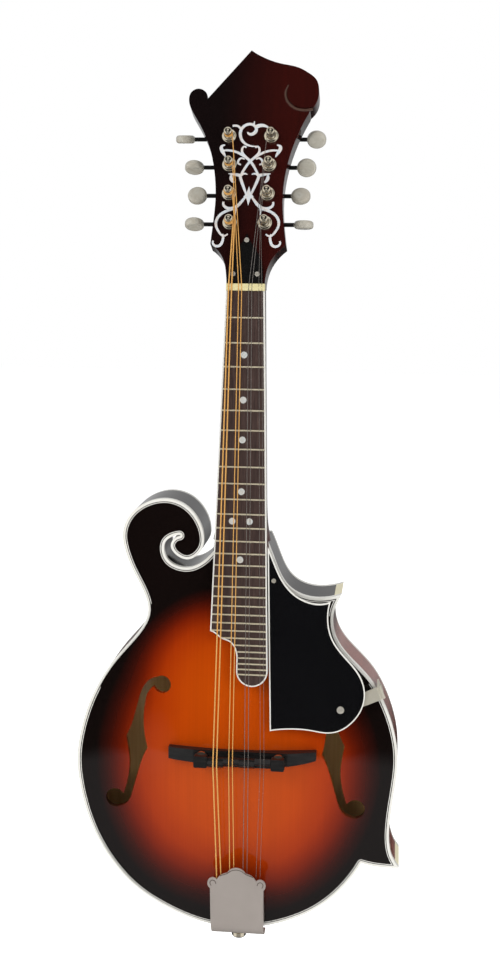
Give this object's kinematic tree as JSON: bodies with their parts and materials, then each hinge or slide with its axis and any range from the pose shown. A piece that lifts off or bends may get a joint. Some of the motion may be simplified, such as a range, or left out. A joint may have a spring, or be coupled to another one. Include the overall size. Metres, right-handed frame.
{
  "type": "mandolin",
  "caption": "Scroll-bodied eight-string mandolin with arched plates, carved head, worm-geared tuners, adjustable bridge, tailpiece and finger rest.",
  "frame": {"origin": "middle of the neck's thickness at the nut, where a hanger's yoke holds the neck", "axes": "+Z from the body towards the head, -Y out of the front, +X towards the thin strings"},
  "size_m": [0.2518, 0.1211, 0.6949],
  "materials": {
    "top_wood": "gloss lacquer, sunburst from amber at the centre to near black at the edge",
    "back_wood": "gloss lacquer, dark red-brown",
    "rib_wood": "gloss lacquer, near black at the shoulders and red-brown on the sides",
    "inner_wood": "bare, pale",
    "binding": "ivory white, lacquered",
    "neck_wood": "gloss lacquer, near black to red-brown",
    "rod_steel": "plain turned steel",
    "black_plastic": "polished black",
    "head_veneer": "gloss black-brown lacquer",
    "pearl": "shell pearl, flush and polished",
    "nut_bone": "smooth cream bone",
    "fretboard_wood": "oiled, dark brown",
    "fret_wire": "polished nickel silver",
    "bridge_wood": "satin black ebony",
    "bridge_metal": "nickel plate",
    "tail_metal": "nickel plate, lightly brushed",
    "button_metal": "nickel plate",
    "wound_string": "bronze winding",
    "plain_string": "plain steel wire",
    "screw_metal": "nickel plate",
    "tuner_metal": "nickel plate",
    "gear_brass": "plain brass",
    "tuner_button": "grey-beige pearl on a dark steel worm shaft"
  },
  "bodies": {
    "body": {"top_plate": "top_wood", "back_plate": "back_wood", "ribs": "rib_wood", "linings": "inner_wood", "tone_bars": "inner_wood", "blocks": "inner_wood", "binding": "binding", "point_caps": "binding", "neck": "neck_wood", "truss_rod": "rod_steel", "truss_rod_cover": "black_plastic", "head_overlay": "head_veneer", "head_inlay": "pearl", "nut": "nut_bone", "fretboard": "fretboard_wood", "fretboard_binding": "binding", "frets": "fret_wire", "position_dots": "pearl", "bridge_base": "bridge_wood", "bridge_posts": "bridge_metal", "tailpiece_base": "tail_metal", "strap_button": "button_metal", "strings_wound": "wound_string", "strings_plain": "plain_string", "pickguard": "black_plastic", "pickguard_edge": "binding", "pickguard_bracket": "tail_metal", "wood_screws": "screw_metal", "tuner_plates": "tuner_metal", "tuner_bushings": "tuner_metal"},
    "truss_nut": {"truss_rod_nut": "rod_steel"},
    "saddle": {"bridge_saddle": "bridge_wood"},
    "wheel_bass": {"bridge_wheel_bass": "bridge_metal"},
    "wheel_treble": {"bridge_wheel_treble": "bridge_metal"},
    "tail_cover": {"tailpiece_cover": "tail_metal"},
    "post_1": {"post_1": "tuner_metal", "gear_1": "gear_brass"},
    "key_1": {"key_1": "tuner_button"},
    "post_2": {"post_2": "tuner_metal", "gear_2": "gear_brass"},
    "key_2": {"key_2": "tuner_button"},
    "post_3": {"post_3": "tuner_metal", "gear_3": "gear_brass"},
    "key_3": {"key_3": "tuner_button"},
    "post_4": {"post_4": "tuner_metal", "gear_4": "gear_brass"},
    "key_4": {"key_4": "tuner_button"},
    "post_5": {"post_5": "tuner_metal", "gear_5": "gear_brass"},
    "key_5": {"key_5": "tuner_button"},
    "post_6": {"post_6": "tuner_metal", "gear_6": "gear_brass"},
    "key_6": {"key_6": "tuner_button"},
    "post_7": {"post_7": "tuner_metal", "gear_7": "gear_brass"},
    "key_7": {"key_7": "tuner_button"},
    "post_8": {"post_8": "tuner_metal", "gear_8": "gear_brass"},
    "key_8": {"key_8": "tuner_button"}
  },
  "joints": [
    {"name": "key_1_spin", "type": "hinge", "parent": "body", "child": "key_1", "pos_m": [-0.01789, 0.05201, 0.1126], "axis": [1, 0, 0], "continuous": true},
    {"name": "post_1_spin", "type": "hinge", "parent": "body", "child": "post_1", "pos_m": [-0.01789, 0.04993, 0.10687], "axis": [0, -0.9397, 0.342], "continuous": true},
    {"name": "key_2_spin", "type": "hinge", "parent": "body", "child": "key_2", "pos_m": [-0.0166, 0.04415, 0.09099], "axis": [1, 0, 0], "continuous": true},
    {"name": "post_2_spin", "type": "hinge", "parent": "body", "child": "post_2", "pos_m": [-0.0166, 0.04206, 0.08526], "axis": [0, -0.9397, 0.342], "continuous": true},
    {"name": "key_3_spin", "type": "hinge", "parent": "body", "child": "key_3", "pos_m": [-0.01571, 0.03628, 0.06938], "axis": [1, 0, 0], "continuous": true},
    {"name": "post_3_spin", "type": "hinge", "parent": "body", "child": "post_3", "pos_m": [-0.01571, 0.03419, 0.06365], "axis": [0, -0.9397, 0.342], "continuous": true},
    {"name": "key_4_spin", "type": "hinge", "parent": "body", "child": "key_4", "pos_m": [-0.01413, 0.02841, 0.04777], "axis": [1, 0, 0], "continuous": true},
    {"name": "post_4_spin", "type": "hinge", "parent": "body", "child": "post_4", "pos_m": [-0.01413, 0.02633, 0.04203], "axis": [0, -0.9397, 0.342], "continuous": true},
    {"name": "key_5_spin", "type": "hinge", "parent": "body", "child": "key_5", "pos_m": [0.01411, 0.05201, 0.1126], "axis": [1, 0, 0], "continuous": true},
    {"name": "post_5_spin", "type": "hinge", "parent": "body", "child": "post_5", "pos_m": [0.01411, 0.04993, 0.10687], "axis": [0, -0.9397, 0.342], "continuous": true},
    {"name": "key_6_spin", "type": "hinge", "parent": "body", "child": "key_6", "pos_m": [0.0134, 0.04415, 0.09099], "axis": [1, 0, 0], "continuous": true},
    {"name": "post_6_spin", "type": "hinge", "parent": "body", "child": "post_6", "pos_m": [0.0134, 0.04206, 0.08526], "axis": [0, -0.9397, 0.342], "continuous": true},
    {"name": "key_7_spin", "type": "hinge", "parent": "body", "child": "key_7", "pos_m": [0.01309, 0.03628, 0.06938], "axis": [1, 0, 0], "continuous": true},
    {"name": "post_7_spin", "type": "hinge", "parent": "body", "child": "post_7", "pos_m": [0.01309, 0.03419, 0.06365], "axis": [0, -0.9397, 0.342], "continuous": true},
    {"name": "key_8_spin", "type": "hinge", "parent": "body", "child": "key_8", "pos_m": [0.01208, 0.02841, 0.04777], "axis": [1, 0, 0], "continuous": true},
    {"name": "post_8_spin", "type": "hinge", "parent": "body", "child": "post_8", "pos_m": [0.01208, 0.02633, 0.04203], "axis": [0, -0.9397, 0.342], "continuous": true},
    {"name": "truss_nut_turn", "type": "hinge", "parent": "body", "child": "truss_nut", "pos_m": [0, 0.00085, 0.00845], "axis": [0, 0.0997, 0.995], "range_deg": [-180, 180]},
    {"name": "saddle_height", "type": "slide", "parent": "body", "child": "saddle", "axis": [0, -1, 0], "range_m": [-0.0015, 0]},
    {"name": "wheel_bass_spin", "type": "hinge", "parent": "saddle", "child": "wheel_bass", "pos_m": [-0.0268, -0.0422, -0.3516], "axis": [0, -1, 0], "range_deg": [-675.5, 0]},
    {"name": "wheel_treble_spin", "type": "hinge", "parent": "saddle", "child": "wheel_treble", "pos_m": [0.0316, -0.0422, -0.3516], "axis": [0, -1, 0], "range_deg": [-675.5, 0]},
    {"name": "tail_cover_slide", "type": "slide", "parent": "body", "child": "tail_cover", "axis": [0, 0, -1], "range_m": [0, 0.065]}
  ],
  "couplings": [
    {"joint": "post_1_spin", "follows": "key_1_spin", "ratio": 0.071429},
    {"joint": "post_2_spin", "follows": "key_2_spin", "ratio": 0.071429},
    {"joint": "post_3_spin", "follows": "key_3_spin", "ratio": 0.071429},
    {"joint": "post_4_spin", "follows": "key_4_spin", "ratio": 0.071429},
    {"joint": "post_5_spin", "follows": "key_5_spin", "ratio": 0.071429},
    {"joint": "post_6_spin", "follows": "key_6_spin", "ratio": 0.071429},
    {"joint": "post_7_spin", "follows": "key_7_spin", "ratio": 0.071429},
    {"joint": "post_8_spin", "follows": "key_8_spin", "ratio": 0.071429},
    {"joint": "wheel_bass_spin", "follows": "saddle_height", "rad_per_m": 7854},
    {"joint": "wheel_treble_spin", "follows": "saddle_height", "rad_per_m": 7854}
  ]
}
